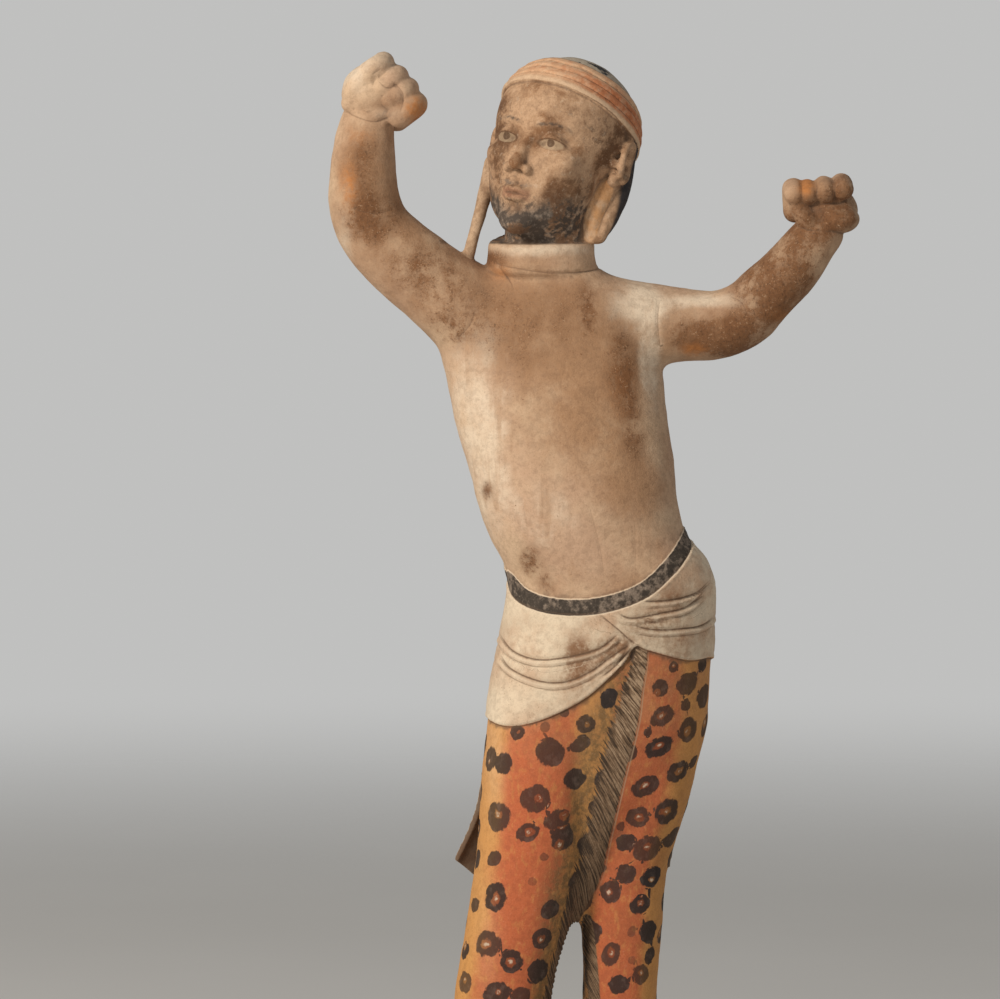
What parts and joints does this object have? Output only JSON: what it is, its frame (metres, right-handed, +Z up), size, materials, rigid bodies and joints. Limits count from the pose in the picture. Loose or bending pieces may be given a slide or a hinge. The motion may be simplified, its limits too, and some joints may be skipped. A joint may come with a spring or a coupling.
{
  "type": "tomb figurine",
  "caption": "Painted pottery tomb figurine of a groom with raised fists, in headband, tight shirt, belt, hip wrap, spotted trousers and boots, on a thin rounded base.",
  "frame": {"origin": "middle of the base's underside", "axes": "+Z up, the figure's body faces -Y, +X to the viewer's right as seen from the front"},
  "size_m": [0.254, 0.115, 0.5798],
  "materials": {
    "painted_pottery": "unglazed, worn matt paint over pale slip, with stains and scratches"
  },
  "bodies": {
    "root": {"figurine": "painted_pottery"}
  },
  "joints": []
}
